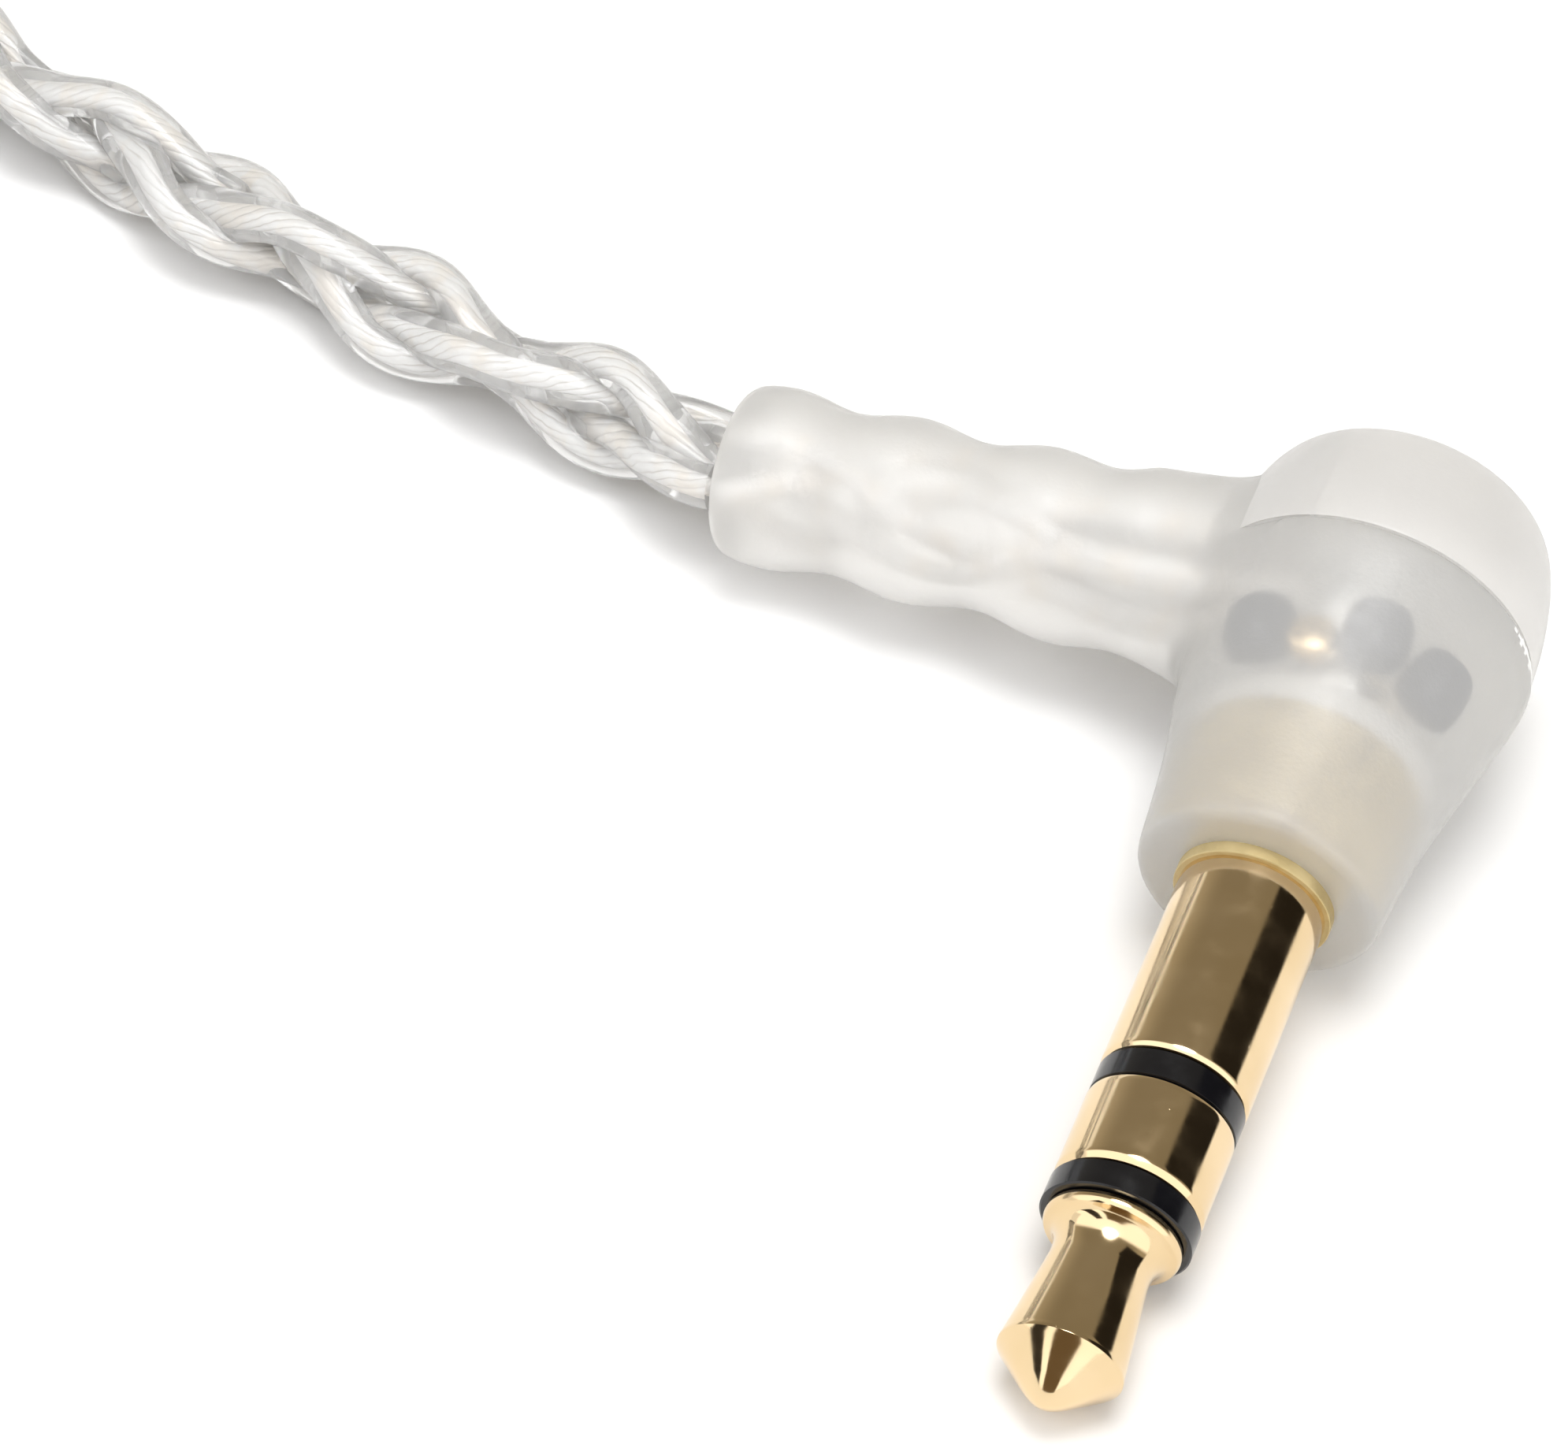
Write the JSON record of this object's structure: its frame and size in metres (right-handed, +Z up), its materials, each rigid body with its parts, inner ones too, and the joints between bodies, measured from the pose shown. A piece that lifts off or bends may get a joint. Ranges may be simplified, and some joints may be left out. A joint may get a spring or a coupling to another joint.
{
  "type": "in-ear monitors",
  "caption": "Wired in-ear monitors: right-angle 3.5 mm plug, braided cable with splitter and slider, ear hooks, two-pin connectors and nozzles with soft tips.",
  "frame": {"origin": "centre of the floor outline of the plug and both monitors, on the surface they lie on", "axes": "+Z up, -Y towards the plug's tip side, +X towards the plug, -X towards the coil"},
  "size_m": [0.103, 0.096, 0.0213],
  "materials": {
    "gold": "bright gold plating",
    "plug_insulator": "gloss",
    "silver_wire": "clear jacket over twisted silver-plated wires",
    "frosted_plastic": "frosted, milky translucent",
    "splitter_plastic": "satin",
    "slider_rubber": "satin",
    "tie_rubber": "matte",
    "clear_tube": "clear, slightly frosted",
    "connector_plastic": "clear, moulded",
    "shell_plastic": "clear acrylic, polished",
    "faceplate_plastic": "pearl, polished",
    "socket_plastic": "satin",
    "driver_steel": "satin",
    "screen_steel": "etched",
    "board": "solder mask",
    "silicone": "translucent, matt"
  },
  "bodies": {
    "cable_and_plug": {"plug_tip_contact": "gold", "plug_ring_contact": "gold", "plug_sleeve_contact": "gold", "plug_tip_lug": "gold", "plug_ring_lug": "gold", "plug_ground_lug": "gold", "splitter_crimp": "gold", "right_pin_signal": "gold", "right_pin_return": "gold", "left_pin_signal": "gold", "left_pin_return": "gold", "plug_tip_insulator": "plug_insulator", "plug_ring_insulator": "plug_insulator", "plug_rear_collar": "plug_insulator", "plug_wire_left": "silver_wire", "plug_wire_right": "silver_wire", "plug_wire_left_return": "silver_wire", "plug_wire_right_return": "silver_wire", "main_cable_run": "silver_wire", "main_cable_coil": "silver_wire", "main_cable_tail": "silver_wire", "leads_coil": "silver_wire", "right_lead_entry": "silver_wire", "right_lead_run": "silver_wire", "left_lead_entry": "silver_wire", "left_lead_run": "silver_wire", "plug_housing": "frosted_plastic", "plug_end_cap": "frosted_plastic", "splitter_upper_shell": "splitter_plastic", "splitter_lower_shell": "splitter_plastic", "coil_tie": "tie_rubber", "right_ear_hook": "clear_tube", "right_connector": "connector_plastic", "left_ear_hook": "clear_tube", "left_connector": "connector_plastic"},
    "chin_slider": {"chin_slider": "slider_rubber"},
    "right_monitor": {"right_shell": "shell_plastic", "right_faceplate": "faceplate_plastic", "right_socket": "socket_plastic", "right_woofer": "driver_steel", "right_tweeter": "driver_steel", "right_crossover_board": "board", "right_sound_tube": "clear_tube", "right_nozzle_screen": "screen_steel"},
    "right_ear_tip": {"right_ear_tip": "silicone"},
    "left_monitor": {"left_shell": "shell_plastic", "left_faceplate": "faceplate_plastic", "left_socket": "socket_plastic", "left_woofer": "driver_steel", "left_tweeter": "driver_steel", "left_crossover_board": "board", "left_sound_tube": "clear_tube", "left_nozzle_screen": "screen_steel"},
    "left_ear_tip": {"left_ear_tip": "silicone"}
  },
  "joints": [
    {"name": "chin_slide", "type": "slide", "parent": "cable_and_plug", "child": "chin_slider", "axis": [0, 1, 0], "range_m": [0, 0.019]},
    {"name": "right_monitor_pull", "type": "slide", "parent": "cable_and_plug", "child": "right_monitor", "axis": [0, -1, 0], "range_m": [0, 0.004]},
    {"name": "right_ear_tip_pull", "type": "slide", "parent": "right_monitor", "child": "right_ear_tip", "axis": [-0.5011, -0.2004, 0.8419], "range_m": [0, 0.006]},
    {"name": "left_monitor_pull", "type": "slide", "parent": "cable_and_plug", "child": "left_monitor", "axis": [0, -1, 0], "range_m": [0, 0.004]},
    {"name": "left_ear_tip_pull", "type": "slide", "parent": "left_monitor", "child": "left_ear_tip", "axis": [0.5011, -0.2004, 0.8419], "range_m": [0, 0.006]}
  ]
}
